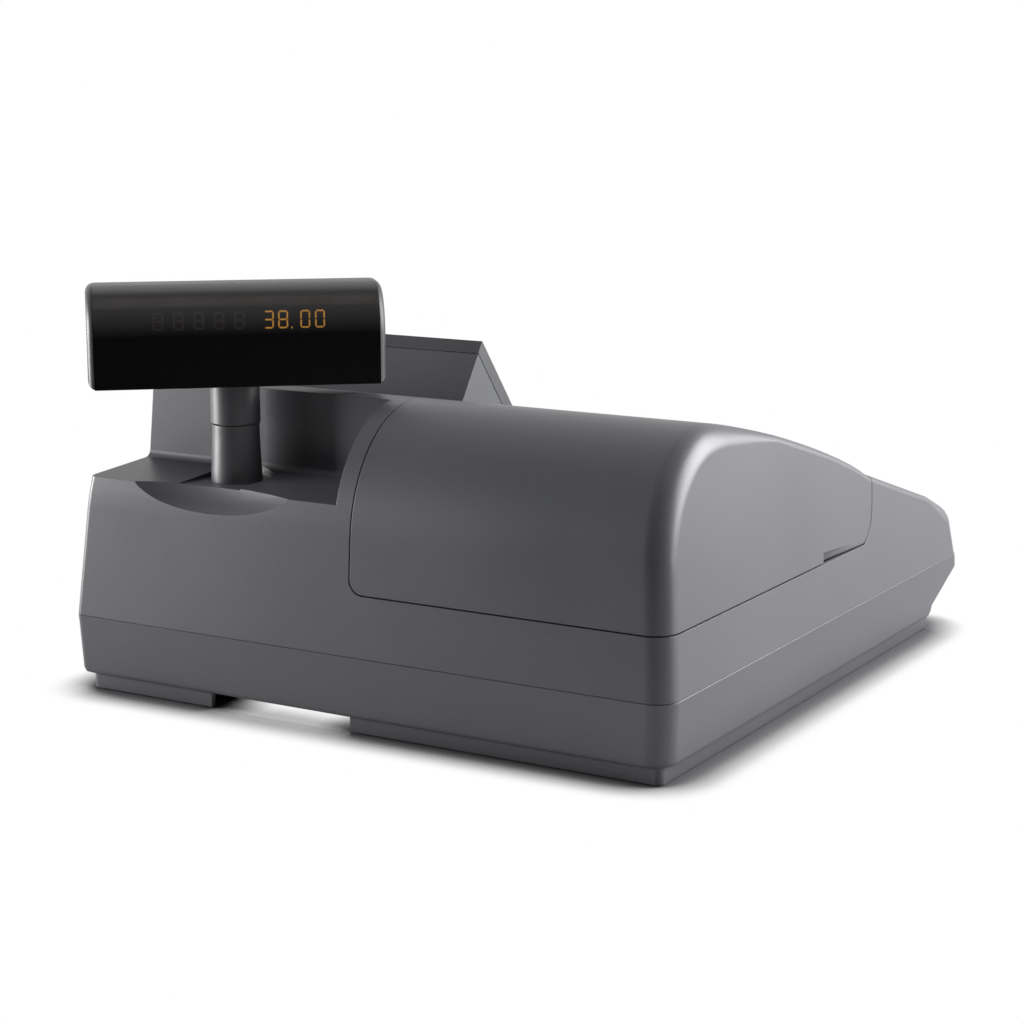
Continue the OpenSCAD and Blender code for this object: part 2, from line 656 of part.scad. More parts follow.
// Display tube on short legs in front of its board, which stands on two posts
vfd_half = 56;
vfd_y = 8.4;
vfd_t = 3;
vfd_z = 36;
vfd_tall = 20;
card_y = 5.4;
card_t = 1.6;
card_post = 15.1;
CHIPS = [-40, -10, 25];
module head_display() {
  color("#16201d") at_head() {
    box([-vfd_half, vfd_y, vfd_z - vfd_tall / 2], [vfd_half, vfd_y + vfd_t, vfd_z + vfd_tall / 2]);
    for (x = [-vfd_half + 3, vfd_half - 5])
      box([x, card_y + card_t, vfd_z - 6], [x + 2, vfd_y, vfd_z + 6]);
  }
}
module head_board() {
  color("#1f5b34") at_head() {
    box([-vfd_half - 12, card_y, 8], [vfd_half + 12, card_y + card_t, 48]);
    for (x = CHIPS) box([x, card_y - 4.9, 16], [x + 16, card_y, 27]);
    for (x = [-1, 1]) translate([x * (vfd_half + 8), card_y, 12]) rotate([90, 0, 0])
      cylinder(h = card_post, r = 3);
  }
}

// ---------------------------------------------------------------- keyboard
cap_d = key_py - 3.3;
flange = 1.2;
key_x0 = keys_half - rim - 2.5 - cap_w / 2 - flange - 4 * key_px;
key_v0 = -2 * key_py;
board_h = -12.5;
dome_h = 3.4;
flange_h = -frame_t - seat - 0.1;
function key_x(k) = key_x0 + k[1] * key_px;
function key_v(k) = key_v0 + key_py * (k[2] + (k[3] - 1) / 2);
function key_d(k) = cap_d + (k[3] - 1) * key_py;
// Right edge of the membrane panel
overlay_x = key_x0 - key_px / 2 - 5;
module keyboard_frame() {
  half = keys_half - seat;
  depth = keys_d / 2 - seat;
  color("#2b2d30") on_deck() difference() {
    union() {
      box([-half, -depth, -frame_t - seat], [half, depth, -0.3]);
      for (x = [-keys_half + rim + 6, -50, overlay_x + 2], v = [-1, 1])
        translate([x, v * (keys_d / 2 - rim - 4), board_h]) cylinder(h = -board_h - 1, r = 1.2);
      box([keys_half - rim - 1.9, -keys_d / 4, board_h], [keys_half - rim - 0.9, keys_d / 4, -1]);
    }
    box([-keys_half + rim, -keys_d / 2 + rim, -0.9], [overlay_x, keys_d / 2 - rim, 1]);
    for (k = KEYS)
      box([key_x(k) - cap_w / 2 - free, key_v(k) - key_d(k) / 2 - free, -20],
        [key_x(k) + cap_w / 2 + free, key_v(k) + key_d(k) / 2 + free, 20]);
  }
}
module plu_overlay() {
  color("#d8dadb") on_deck()
    band(-keys_half + rim + seat, overlay_x - seat, keys_d / 2 - rim - seat, -0.9, -0.4);
}
module keyboard_board() {
  color("#1f5b34") on_deck() {
    band(-keys_half + rim + 0.8, keys_half - rim - 0.8, keys_d / 2 - rim - 0.8, board_h - board_t, board_h);
    for (k = KEYS) translate([key_x(k), key_v(k), board_h]) cylinder(h = dome_h, r = 4.4);
  }
}
module key_cap(k) {
  stem_z = board_h + dome_h + key_travel + 0.3;
  color(["#e4e5e6", "#8f9398", "#3f7fb5", "#b5483f"][k[4]]) on_deck() translate([key_x(k), key_v(k), 0]) {
    hull() {
      translate([0, 0, flange_h - 0.5]) slab(cap_w, key_d(k), 3, 1);
      translate([0, 0, 4]) slab(cap_w - 3, key_d(k) - 2.6, 0.6, 1.6);
    }
    band(-cap_w / 2 - flange, cap_w / 2 + flange, key_d(k) / 2 + flange, flange_h - 1, flange_h);
    translate([0, 0, stem_z]) cylinder(h = flange_h - 0.5 - stem_z, r = 3);
  }
}

// ---------------------------------------------------------------- mode lock
lock_t = 0.168;
lock_x = x_case - 34;
lock_r = 9;
core_r = 6;
module on_rise(t, x) {
  translate([x, rise(t)[0], rise(t)[1]]) rotate([slope_at(t, 0.01), 0, 0]) children();
}
module mode_lock() {
  color("#9fa2a5") on_rise(lock_t, lock_x) difference() {
    union() {
      translate([0, 0, 0.3]) cylinder(h = 2.6, r = lock_r + 3);
      translate([0, 0, -16]) cylinder(h = 17, r = lock_r);
      translate([0, 0, -wall - 3.6]) cylinder(h = 3, r = lock_r + 2.5, $fn = 6);
    }
    translate([0, 0, -14]) cylinder(h = 30, r = core_r + run);
  }
}
module mode_key() {
  color("#c4c6c8") on_rise(lock_t, lock_x) {
    translate([0, 0, -13.7]) cylinder(h = 17, r = core_r);
    translate([-3.4, -1, 3]) cube([6.8, 2, 10]);
    translate([0, 1.6, 20]) rotate([90, 0, 0]) difference() {
      cylinder(h = 3.2, r = 11);
      translate([0, 5, -1]) cylinder(h = 6, r = 2.5);
    }
  }
}

// ---------------------------------------------------------------- printer
frame_z = 58;
frame_y0 = deck_y + 14;
frame_y1 = 162;
roll_y = 112;
roll_z = 112;
roll_r = roll_d / 2;
platen_y = -24;
platen_z = 107;
spool_y = 28;
spool_z = 112;
mod_t = 1;
gear_r = mod_t * gear_teeth / 2;
pinion_r = mod_t * pinion_teeth / 2;
mesh = gear_r + pinion_r + 0.15;
mesh_a = -62;
pinion_y = platen_y + mesh * cos(mesh_a);
pinion_z = platen_z + mesh * sin(mesh_a);
shaft_r = 2;
plate_t = 2;
STATIONS = [receipt_x, journal_x];
station_half = roll_w / 2 + 2;
mid_x = (receipt_x + journal_x) / 2;
function plate_profile() = [
  [frame_y0, frame_z], [frame_y0, platen_z + 6], [platen_y + 12, platen_z + 12],
  [spool_y + 8, spool_z + 8], [roll_y - 20, roll_z - 20], [frame_y1, roll_z - 26], [frame_y1, frame_z]];
function arm_profile() = [
  [frame_y1 - 12, frame_z], [frame_y1 - 12, hinge_z - arm_r], [frame_y1 - 6, hinge_z + arm_r],
  [hinge_y, hinge_z + arm_r], [hinge_y, hinge_z - arm_r], [frame_y1, hinge_z - arm_r],
  [frame_y1, frame_z]];
PLATES = [frame_x0, mid_x - plate_t / 2, frame_x1 - arm_t];
module printer_frame() {
  color("#595c60") difference() {
    union() {
      box([frame_x0, frame_y0, frame_z], [frame_x1, frame_y1, frame_z + 2.5]);
      for (x = PLATES) across(x, x + arm_t) polygon(plate_profile());
      for (x = ARMS) {
        across(x, x + arm_t) polygon(arm_profile());
        rod(x, x + arm_t, hinge_y, hinge_z, arm_r);
      }
      // troughs that the paper rolls lie in
      for (x = STATIONS)
        box([x - station_half - plate_t, roll_y - roll_r - 3, frame_z],
          [x + station_half + plate_t, frame_y1, roll_z - 26]);
      for (x = [frame_x0 + 14, frame_x1 - 14], y = [frame_y0 + 10, frame_y1 - 10])
        translate([x, y, plinth_h + wall]) cylinder(h = frame_z - plinth_h - wall + 1, r = 4);
    }
    for (x = STATIONS) rod(x - station_half, x + station_half, roll_y, roll_z, roll_r + 0.3);
    // bearings of platens, pinions, spool and hinge pins
    rod(frame_x0 - 1, frame_x1 + 1, platen_y, platen_z, shaft_r + run);
    rod(frame_x0 - 1, frame_x1 + 1, spool_y, spool_z, shaft_r + run);
    rod(frame_x0 - 1, frame_x1 + 1, pinion_y, pinion_z, pinion_r + 2.5);
    for (x = ARMS) rod(x - 1, x + arm_t + 1, hinge_y, hinge_z, hinge_d / 2);
  }
}
module paper_roll(x) {
  color("#f2f1ec") difference() {
    rod(x - roll_w / 2, x + roll_w / 2, roll_y, roll_z, roll_r);
    rod(x - roll_w, x + roll_w, roll_y, roll_z, 6.5);
  }
}
module receipt_roll() { paper_roll(receipt_x); }
module journal_roll() { paper_roll(journal_x); }
module take_up_spool() {
  x0 = frame_x0;
  x1 = mid_x + plate_t;
  color("#2f6fa3") union() {
    rod(x0 + seat, x1, spool_y, spool_z, shaft_r);
    rod(journal_x - roll_w / 2 - 1, journal_x + roll_w / 2 + 1, spool_y, spool_z, 5);
    rod(journal_x - roll_w / 2 - 1.5, journal_x - roll_w / 2, spool_y, spool_z, 19);
    rod(journal_x + roll_w / 2, journal_x + roll_w / 2 + 1.5, spool_y, spool_z, 19);
    rod(journal_x - roll_w / 2 + 1, journal_x + roll_w / 2 - 1, spool_y, spool_z, 12);
  }
}
// Spur gear along X with straight-sided teeth, turned by t degrees
module gear(x, y, z, n, t) {
  r = mod_t * n / 2;
  translate([x, y, z]) rotate([90, 0, 90]) rotate([0, 0, t]) linear_extrude(gear_w) union() {
    circle(r - 1.2 * mod_t);
    for (j = [0:n - 1]) rotate([0, 0, j * 360 / n])
      polygon([[r - 1.6 * mod_t, -0.95 * mod_t], [r, -0.62 * mod_t], [r + 0.85 * mod_t, -0.3 * mod_t],
        [r + 0.85 * mod_t, 0.3 * mod_t], [r, 0.62 * mod_t], [r - 1.6 * mod_t, 0.95 * mod_t]]);
  }
}
pin_r = 1.5;
function gear_side(x) = x < mid_x ? PLATES[0] + arm_t + gear_gap : PLATES[2] - gear_w - gear_gap;
module platen(x) {
  left = x < mid_x ? PLATES[0] : PLATES[1] + arm_t / 2;
  right = x < mid_x ? PLATES[1] + arm_t / 2 : PLATES[2] + arm_t;
  color("#232427") union() {
    rod(left + seat, right - seat, platen_y, platen_z, shaft_r);
    rod(x - roll_w / 2, x + roll_w / 2, platen_y, platen_z, platen_d / 2);
    gear(gear_side(x), platen_y, platen_z, gear_teeth, mesh_a);
  }
}
module receipt_platen() { platen(receipt_x); }
module journal_platen() { platen(journal_x); }
module pinion(x) {
  color("#e8e2cf") union() {
    gear(gear_side(x), pinion_y, pinion_z, pinion_teeth, mesh_a + 180 + 180 / pinion_teeth);
    if (x < mid_x) rod(gear_side(x) + gear_w - 0.1, gear_side(x) + gear_w + 3, pinion_y, pinion_z, pin_r);
    else rod(gear_side(x) - 3, gear_side(x) + 0.1, pinion_y, pinion_z, pin_r);
  }
}
module receipt_pinion() { pinion(receipt_x); }
module journal_pinion() { pinion(journal_x); }
motor_l = 20;
motor_r = 12;
module feed_motors() {
  color("#8d9094") for (x = STATIONS) {
    m0 = x < mid_x ? gear_side(x) + gear_w + 1.2 : gear_side(x) - 1.2 - motor_l;
    bore_x = x < mid_x ? m0 - 1 : m0 + motor_l - 4;
    difference() {
      union() {
        rod(m0, m0 + motor_l, pinion_y, pinion_z, motor_r);
        box([m0, pinion_y - 6, frame_z + 2.5], [m0 + motor_l, pinion_y + 6, pinion_z]);
      }
      rod(bore_x, bore_x + 5, pinion_y, pinion_z, pin_r + run);
    }
  }
}
bar_t = 3;
module print_heads() {
  face_y = platen_y - platen_d / 2 - 0.3;
  color("#c7b98a") for (x = STATIONS) union() {
    box([x - roll_w / 2, face_y - bar_t, platen_z - 14], [x + roll_w / 2, face_y, platen_z + 4]);
    box([x - 12, face_y - 2 * bar_t, frame_z + 2.5], [x + 12, face_y - bar_t, platen_z - 2]);
  }
}

// ---------------------------------------------------------------- electronics
stand = 6;
board_t = 1.6;
board_w = plinth_w * 7 / 12;
board_d = plinth_d * 0.257;
board_at = [-x_case + 36, plinth_y - plinth_d / 2 + 23, plinth_h + wall + stand];
// Left end, front end, width, depth and height of each part on the main board
PARTS = [
  [30, 25, 28, 28, 3], [90, 30, 40, 14, 4], [150, 25, 18, 18, 3], [40, 63, 20, 20, 9],
  [155, 67, 30, 12, 8]];
module main_board() {
  color("#1f5b34") translate(board_at) {
    box([0, 0, 0], [board_w, board_d, board_t]);
    for (x = [10, board_w - 10], y = [10, board_d - 10])
      translate([x, y, -stand]) cylinder(h = stand + 0.1, r = 3);
    for (c = PARTS) translate([c[0], c[1], board_t - 0.1]) cube([c[2], c[3], c[4] + 0.1]);
  }
}
supply = [50, 110, 30];
supply_slots = 8;
module power_supply() {
  pitch = supply[0] / (supply_slots + 1);
  corner = [x_case - 28 - supply[0], plinth_y - supply[1] / 2 - 5, plinth_h + wall];
  color("#a9abad") translate(corner) difference() {
    cube(supply);
    for (j = [1:supply_slots])
      translate([j * pitch - 1.25, 10, supply[2] - 3]) cube([2.5, supply[1] - 20, 4]);
  }
}
socket_z = plinth_h + 9;
// Left end, width and height of each socket in the cable bay
SOCKETS = [[bay_x0 + 6, 17, 12], [bay_x0 + 28, 17, 12], [bay_x0 + 50, 14, 11]];
socket_d = 12;
// Panel that holds the sockets in the bay's front wall
panel_x0 = bay_x0;
panel_x1 = bay_x0 + 68;
panel_z0 = plinth_h + wall + 0.5;
panel_z1 = plinth_h + bay_h;
// Power jack in the bay's roof, open downwards
jack_at = [bay_x0 + 75, bay_y + 20, plinth_h + bay_h];
jack_w = 11;
jack_h = 13;
jack_r = 2.9;
jack_l = 9.5;
module port_sockets() {
  color("#2e3033") difference() {
    box([panel_x0 + seat, bay_y - wall, panel_z0 + seat], [panel_x1 - seat, bay_y, panel_z1 - seat]);
    for (s = SOCKETS) box([s[0], bay_y - wall - 1, socket_z], [s[0] + s[1], bay_y + 1, socket_z + s[2]]);
  }
  color("#26282b") for (s = SOCKETS) difference() {
    box([s[0] + seat, bay_y - socket_d, socket_z + seat],
      [s[0] + s[1] - seat, bay_y + 0.5, socket_z + s[2] - seat]);
    box([s[0] + 2.5, bay_y - 8, socket_z + 2.5], [s[0] + s[1] - 2.5, bay_y + 2, socket_z + s[2] - 2.5]);
  }
  color("#26282b") translate(jack_at) difference() {
    box([-jack_w / 2 + seat, -jack_w / 2 + seat, -0.5], [jack_w / 2 - seat, jack_w / 2 - seat, jack_h]);
    translate([0, 0, -1]) cylinder(h = jack_l + 0.5, r = jack_r);
  }
}
switch_y = 100;
switch_z = plinth_h + 17;
switch_w = 21;
switch_hh = 14;
rocker_w = 16.6;
rocker_free = 1.3;
rocker_h = 10;
rocker_a = 8;
pivot_r = 1.2;
pivot_in = 5;
module at_switch() {
  translate([x_case - 0.1, switch_y, switch_z]) children();
}
module switch_frame() {
  color("#1d1e20") at_switch() difference() {
    union() {
      band(-9, 0.6, switch_w / 2 - seat, -switch_hh / 2 + seat, switch_hh / 2 - seat);
      band(0, 1.2, switch_w / 2 + 1.2, -switch_hh / 2 - 1.2, switch_hh / 2 + 1.2);
    }
    band(-8, 3, rocker_w / 2 + rocker_free, -rocker_h / 2 - 0.3, rocker_h / 2 + 0.3);
    translate([-pivot_in, 0, -rocker_h / 2 - 1]) cylinder(h = rocker_h + 2, r = pivot_r + run);
  }
}
module power_switch() {
  color("#141517") at_switch() translate([-pivot_in, 0, 0]) rotate([0, 0, rocker_a]) union() {
    translate([0, 0, -rocker_h / 2]) linear_extrude(rocker_h)
      polygon([[-1.8, -3], [3, -rocker_w / 2], [7.2, -rocker_w / 2], [5.4, 0], [7.2, rocker_w / 2],
        [3, rocker_w / 2], [-1.8, 3]]);
    translate([0, 0, -rocker_h / 2 - 0.8]) cylinder(h = rocker_h + 1.6, r = pivot_r);
  }
}

lower_case();
upper_case();
rubber_feet();
case_screws();
printer_cover();
hinge_pins();
tear_bar();
display_hood();
hood_bezel();
operator_window();
operator_lcd();
pole_base();
pole_tube();
head_shell();
head_lens();
head_display();
head_board();
keyboard_frame();
plu_overlay();
keyboard_board();
mode_lock();
mode_key();
printer_frame();
receipt_roll();
journal_roll();
take_up_spool();
receipt_platen();
journal_platen();
receipt_pinion();
journal_pinion();
feed_motors();
print_heads();
main_board();
power_supply();
port_sockets();
switch_frame();
power_switch();
for (k = KEYS) key_cap(k);
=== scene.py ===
"""Ticket register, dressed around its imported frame. Lengths are metres."""
import json
import math

import bmesh
import bpy
from mathutils import Matrix, Vector


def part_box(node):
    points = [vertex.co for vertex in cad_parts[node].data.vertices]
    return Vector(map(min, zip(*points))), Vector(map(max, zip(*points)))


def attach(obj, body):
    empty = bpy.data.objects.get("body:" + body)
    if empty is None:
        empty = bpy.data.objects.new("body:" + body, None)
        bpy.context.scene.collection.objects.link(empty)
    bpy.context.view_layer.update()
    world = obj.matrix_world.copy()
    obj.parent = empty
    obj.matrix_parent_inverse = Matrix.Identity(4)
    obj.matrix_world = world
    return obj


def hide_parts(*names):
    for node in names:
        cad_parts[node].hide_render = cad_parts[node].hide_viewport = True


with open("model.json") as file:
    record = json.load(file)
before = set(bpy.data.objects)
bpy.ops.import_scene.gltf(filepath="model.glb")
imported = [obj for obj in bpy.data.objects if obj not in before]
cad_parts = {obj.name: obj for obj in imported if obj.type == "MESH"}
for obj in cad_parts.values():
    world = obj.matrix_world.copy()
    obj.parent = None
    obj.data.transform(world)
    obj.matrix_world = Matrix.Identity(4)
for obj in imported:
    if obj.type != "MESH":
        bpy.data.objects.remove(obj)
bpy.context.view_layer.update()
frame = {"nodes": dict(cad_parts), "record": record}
NODES = frame["nodes"]
BODY_OF = {n: b for b, ns in frame["record"]["behaviour"]["bodies"].items() for n in ns}
SLOT_OF = {s["node"]: s["material_slot"] for s in frame["record"]["subparts"]}
MM = 0.001


# ---------------------------------------------------------------- node helpers
def link(tree, a, b):
    tree.links.new(a, b)


def add(tree, kind, **values):
    n = tree.nodes.new(kind)
    for k, v in values.items():
        setattr(n, k, v)
    return n


def noise(tree, coord, scale, detail=3.0, rough=0.5):
    n = add(tree, "ShaderNodeTexNoise")
    n.inputs["Scale"].default_value = scale
    n.inputs["Detail"].default_value = detail
    n.inputs["Roughness"].default_value = rough
    link(tree, coord, n.inputs["Vector"])
    return n.outputs["Fac"]


def remap(tree, value, lo, hi, a=0.3, b=0.7):
    """Takes a..b to lo..hi. The usual a and b span most of what a noise gives."""
    n = add(tree, "ShaderNodeMapRange")
    for key, v in (("From Min", a), ("From Max", b), ("To Min", lo), ("To Max", hi)):
        n.inputs[key].default_value = v
    link(tree, value, n.inputs["Value"])
    return n.outputs["Result"]


def blend_colour(tree, fac, a, b):
    n = add(tree, "ShaderNodeMix", data_type="RGBA")
    link(tree, fac, n.inputs["Factor"])
    for socket, c in ((n.inputs[6], a), (n.inputs[7], b)):
        if isinstance(c, tuple):
            socket.default_value = (*c, 1.0)
        else:
            link(tree, c, socket)
    return n.outputs[2]


def maths(tree, operation, a, b):
    n = add(tree, "ShaderNodeMath", operation=operation)
    link(tree, a, n.inputs[0])
    link(tree, b, n.inputs[1])
    return n.outputs[0]


def blend_shader(tree, fac, a, b):
    n = add(tree, "ShaderNodeMixShader")
    for socket, source in zip(n.inputs, (fac, a, b)):
        link(tree, source, socket)
    return n.outputs[0]


def shade(c, k):
    return tuple(min(1.0, v * k) for v in c)


def start(name):
    m = bpy.data.materials.new(name)
    m.use_nodes = True
    t = m.node_tree
    t.nodes.clear()
    out = add(t, "ShaderNodeOutputMaterial")
    p = add(t, "ShaderNodeBsdfPrincipled")
    link(t, p.outputs[0], out.inputs[0])
    c = add(t, "ShaderNodeTexCoord").outputs["Object"]
    return m, t, p, c


def rounded_normal(t, radius):
    n = add(t, "ShaderNodeBevel", samples=4)
    n.inputs["Radius"].default_value = radius
    return n.outputs[0]


def edge_mask(t, normal):
    """Near 1 where the rounded normal leaves the true one, so on edges and corners."""
    g = add(t, "ShaderNodeNewGeometry")
    d = add(t, "ShaderNodeVectorMath", operation="DOT_PRODUCT")
    link(t, normal, d.inputs[0])
    link(t, g.outputs["Normal"], d.inputs[1])
    return remap(t, d.outputs["Value"], 1.0, 0.0, 0.75, 1.0)


def bump(t, height, strength, distance, normal=None):
    b = add(t, "ShaderNodeBump")
    b.inputs["Strength"].default_value = strength
    b.inputs["Distance"].default_value = distance
    link(t, height, b.inputs["Height"])
    if normal is not None:
        link(t, normal, b.inputs["Normal"])
    return b.outputs[0]


def varied(t, fac, colour, low, high):
    """The colour, from low to high times its strength as fac goes over a noise's span."""
    return blend_colour(t, remap(t, fac, 0.0, 1.0), shade(colour, low), shade(colour, high))


# ---------------------------------------------------------------- materials
MOULDED_EDGE = 0.4 * MM
CUT_EDGE = 0.3 * MM


def moulded(name, colour, rough=0.42, grain=900.0, edge_highlight=1.25, spec=0.5):
    """Moulded plastic with a spark-eroded grain, soft edges and a painted highlight that lightens them.
    """
    m, t, p, c = start(name)
    soft = rounded_normal(t, MOULDED_EDGE)
    patch = noise(t, c, scale=9.0, detail=4.0)
    fine = noise(t, c, scale=grain, detail=2.0, rough=0.6)
    tone = varied(t, patch, colour, 0.94, 1.06)
    tone = blend_colour(t, remap(t, fine, 0.0, 0.25), tone, shade(colour, 1.5))
    # painted highlight: edges and corners are lightened, a highlight painted into the colour
    tone = blend_colour(t, edge_mask(t, soft), tone, shade(colour, edge_highlight))
    link(t, tone, p.inputs["Base Color"])
    link(t, remap(t, patch, rough - 0.03, rough + 0.04), p.inputs["Roughness"])
    p.inputs["Specular IOR Level"].default_value = spec
    link(t, bump(t, fine, 0.6, 0.06 * MM, soft), p.inputs["Normal"])
    return m


def rubber(name, colour):
    """Matt rubber with a fine bloom."""
    m, t, p, c = start(name)
    fine = noise(t, c, scale=600.0)
    link(t, varied(t, noise(t, c, scale=60.0), colour, 0.7, 1.5), p.inputs["Base Color"])
    link(t, remap(t, fine, 0.62, 0.8), p.inputs["Roughness"])
    link(t, bump(t, fine, 0.4, 0.1 * MM, rounded_normal(t, MOULDED_EDGE)), p.inputs["Normal"])
    return m


def metal(name, colour, rough):
    """Metal with drawing lines along X."""
    m, t, p, c = start(name)
    stretch = add(t, "ShaderNodeMapping")
    stretch.inputs["Scale"].default_value = (1.0, 40.0, 40.0)
    link(t, c, stretch.inputs["Vector"])
    lines = noise(t, stretch.outputs[0], scale=60.0, detail=4.0, rough=0.7)
    link(t, varied(t, lines, colour, 0.86, 1.08), p.inputs["Base Color"])
    p.inputs["Metallic"].default_value = 1.0
    link(t, remap(t, lines, rough - 0.08, rough + 0.1), p.inputs["Roughness"])
    link(t, bump(t, lines, 0.15, 0.05 * MM, rounded_normal(t, CUT_EDGE)), p.inputs["Normal"])
    return m


def gloss(name, colour, rough):
    """Smooth glass, glaze or ink with a slight haze."""
    m, t, p, c = start(name)
    haze = noise(t, c, scale=35.0, detail=4.0)
    link(t, varied(t, haze, colour, 0.85, 1.15), p.inputs["Base Color"])
    link(t, remap(t, haze, rough * 0.7, rough * 1.5), p.inputs["Roughness"])
    ripple = noise(t, c, scale=1200.0)
    link(t, bump(t, ripple, 0.03, 0.02 * MM, rounded_normal(t, CUT_EDGE)), p.inputs["Normal"])
    return m


def see_through(name, colour, rough=0.05, ior=1.49, sheen=0.0):
    """Clear or smoked plastic. With sheen, its surface reflects softly and the inside stays sharp."""
    m, t, p, c = start(name)
    haze = noise(t, c, scale=40.0, detail=4.0)
    link(t, varied(t, haze, colour, 0.9, 1.1), p.inputs["Base Color"])
    link(t, remap(t, haze, rough * 0.6, rough * 1.6), p.inputs["Roughness"])
    p.inputs["Transmission Weight"].default_value = 1.0
    p.inputs["IOR"].default_value = ior
    if sheen:
        p.inputs["Specular IOR Level"].default_value = 0.0
        p.inputs["Coat Weight"].default_value = 0.5
        p.inputs["Coat Roughness"].default_value = sheen
        p.inputs["Coat IOR"].default_value = ior
    return m


def paper(name, colour):
    """Paper with fibre in its tone and surface."""
    m, t, p, c = start(name)
    fibre = noise(t, c, scale=500.0, detail=4.0)
    link(t, varied(t, fibre, colour, 0.95, 1.03), p.inputs["Base Color"])
    p.inputs["Roughness"].default_value = 0.8
    link(t, bump(t, fibre, 0.2, 0.04 * MM), p.inputs["Normal"])
    return m


def lit(name, colour, strength):
    """Phosphor that glows by itself; for unlit segments the glow is painted light standing in for what
    they reflect.
    """
    m, t, p, c = start(name)
    link(t, varied(t, noise(t, c, scale=900.0), colour, 0.9, 1.0), p.inputs["Base Color"])
    p.inputs["Emission Color"].default_value = (*colour, 1.0)
    p.inputs["Emission Strength"].default_value = strength
    p.inputs["Roughness"].default_value = 0.5
    return m


def board(name, colour):
    """Circuit board lacquer over a grid of tracks."""
    m, t, p, c = start(name)
    tracks = add(t, "ShaderNodeTexBrick")
    tracks.inputs["Scale"].default_value = 90.0
    tracks.inputs["Mortar Size"].default_value = 0.012
    link(t, c, tracks.inputs["Vector"])
    tone = blend_colour(t, tracks.outputs["Fac"], colour, shade(colour, 1.7))
    link(t, tone, p.inputs["Base Color"])
    link(t, remap(t, noise(t, c, scale=80.0), 0.25, 0.4), p.inputs["Roughness"])
    link(t, bump(t, tracks.outputs["Fac"], 0.2, 0.05 * MM), p.inputs["Normal"])
    return m


CASE = (0.049, 0.05, 0.057)
RECIPES = {
    "case_dark": (moulded, CASE, {}),
    "cover_plastic": (moulded, shade(CASE, 1.02), {"rough": 0.4}),
    "bezel_plastic": (moulded, shade(CASE, 0.7), {"rough": 0.4}),
    "pole_plastic": (moulded, (0.043, 0.044, 0.048), {"rough": 0.4}),
    "head_grey": (moulded, (0.028, 0.028, 0.031), {"rough": 0.4, "spec": 0.35}),
    "inner_plastic": (moulded, (0.08, 0.082, 0.086), {"rough": 0.5}),
    "foot_rubber": (rubber, (0.02, 0.02, 0.021), {}),
    "platen_rubber": (rubber, (0.025, 0.025, 0.027), {}),
    "zinc_steel": (metal, (0.4, 0.41, 0.42), {"rough": 0.4}),
    "bright_steel": (metal, (0.5, 0.51, 0.52), {"rough": 0.28}),
    "bare_metal": (metal, (0.45, 0.46, 0.47), {"rough": 0.42}),
    "lens_smoked": (see_through, (0.05, 0.033, 0.03), {"ior": 1.45, "sheen": 0.2}),
    "window_clear": (see_through, (0.75, 0.8, 0.82), {}),
    "lcd_glass": (gloss, (0.16, 0.2, 0.1), {"rough": 0.15}),
    "tube_glass": (gloss, (0.02, 0.022, 0.024), {"rough": 0.1}),
    "circuit_board": (board, (0.02, 0.11, 0.045), {}),
    "membrane": (moulded, (0.36, 0.37, 0.38), {"rough": 0.38, "grain": 1500.0}),
    "paper": (paper, (0.82, 0.81, 0.78), {}),
    "spool_plastic": (moulded, (0.03, 0.12, 0.28), {"rough": 0.4}),
    "gear_plastic": (moulded, (0.7, 0.66, 0.55), {"rough": 0.45}),
    "head_ceramic": (gloss, (0.45, 0.38, 0.25), {"rough": 0.3}),
    "socket_plastic": (moulded, (0.012, 0.012, 0.013), {"rough": 0.35}),
    "key_white": (moulded, (0.46, 0.465, 0.46), {"rough": 0.4, "edge_highlight": 1.05}),
    "key_grey": (moulded, (0.17, 0.18, 0.19), {"rough": 0.4}),
    "key_blue": (moulded, (0.04, 0.15, 0.38), {"rough": 0.4}),
    "key_red": (moulded, (0.4, 0.06, 0.045), {"rough": 0.4}),
    "ink": (moulded, (0.015, 0.015, 0.017), {"rough": 0.5}),
    "paint": (moulded, (0.7, 0.7, 0.7), {"rough": 0.5}),
    "amber": (lit, (1.0, 0.7, 0.11), {"strength": 7.0}),
    # the unlit idle segments glow faintly: painted light for what they would only reflect
    "ghost": (lit, (0.5, 0.47, 0.55), {"strength": 0.5}),
    "lcd_ink": (gloss, (0.012, 0.016, 0.012), {"rough": 0.3}),
}
MATERIALS = {name: make(name, colour, **more) for name, (make, colour, more) in RECIPES.items()}


# ---------------------------------------------------------------- mesh helpers
def mesh_of(name, bm):
    me = bpy.data.meshes.new(name)
    bm.to_mesh(me)
    bm.free()
    return me


def finish_piece(name, mesh, body, slot, nodes=(), material=None):
    """A piece on a body, in its slot's material or another one, in place of the nodes given."""
    o = bpy.data.objects.new(name, mesh)
    bpy.context.scene.collection.objects.link(o)
    mesh.materials.clear()
    mesh.materials.append(MATERIALS[material or slot])
    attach(o, body)
    if nodes:
        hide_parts(*nodes)
    return o


def smooth_sharp(o, angle, carved=None):
    """Smooth shading with sharp edges kept, and flat faces kept flat beside round ones.

    carved tells whether a point lies on a carved surface, whose rim is kept sharp all round."""
    me = o.data
    bm = bmesh.new()
    bm.from_mesh(me)
    limit = math.radians(angle)
    for f in bm.faces:
        f.smooth = True
    cut = {f for f in bm.faces if all(carved(v.co) for v in f.verts)} if carved else set()
    for e in bm.edges:
        rim = len(set(e.link_faces) & cut) == 1
        e.smooth = len(e.link_faces) == 2 and e.calc_face_angle(0.0) < limit and not rim
    bm.to_mesh(me)
    bm.free()
    w = o.modifiers.new("weighted", "WEIGHTED_NORMAL")
    w.mode = "FACE_AREA"
    w.keep_sharp = True


SAME_POINT = 0.002 * MM
FLAT_ANGLE = math.radians(0.4)
SHARP_CASE, SHARP_CAP = 28.0, 60.0


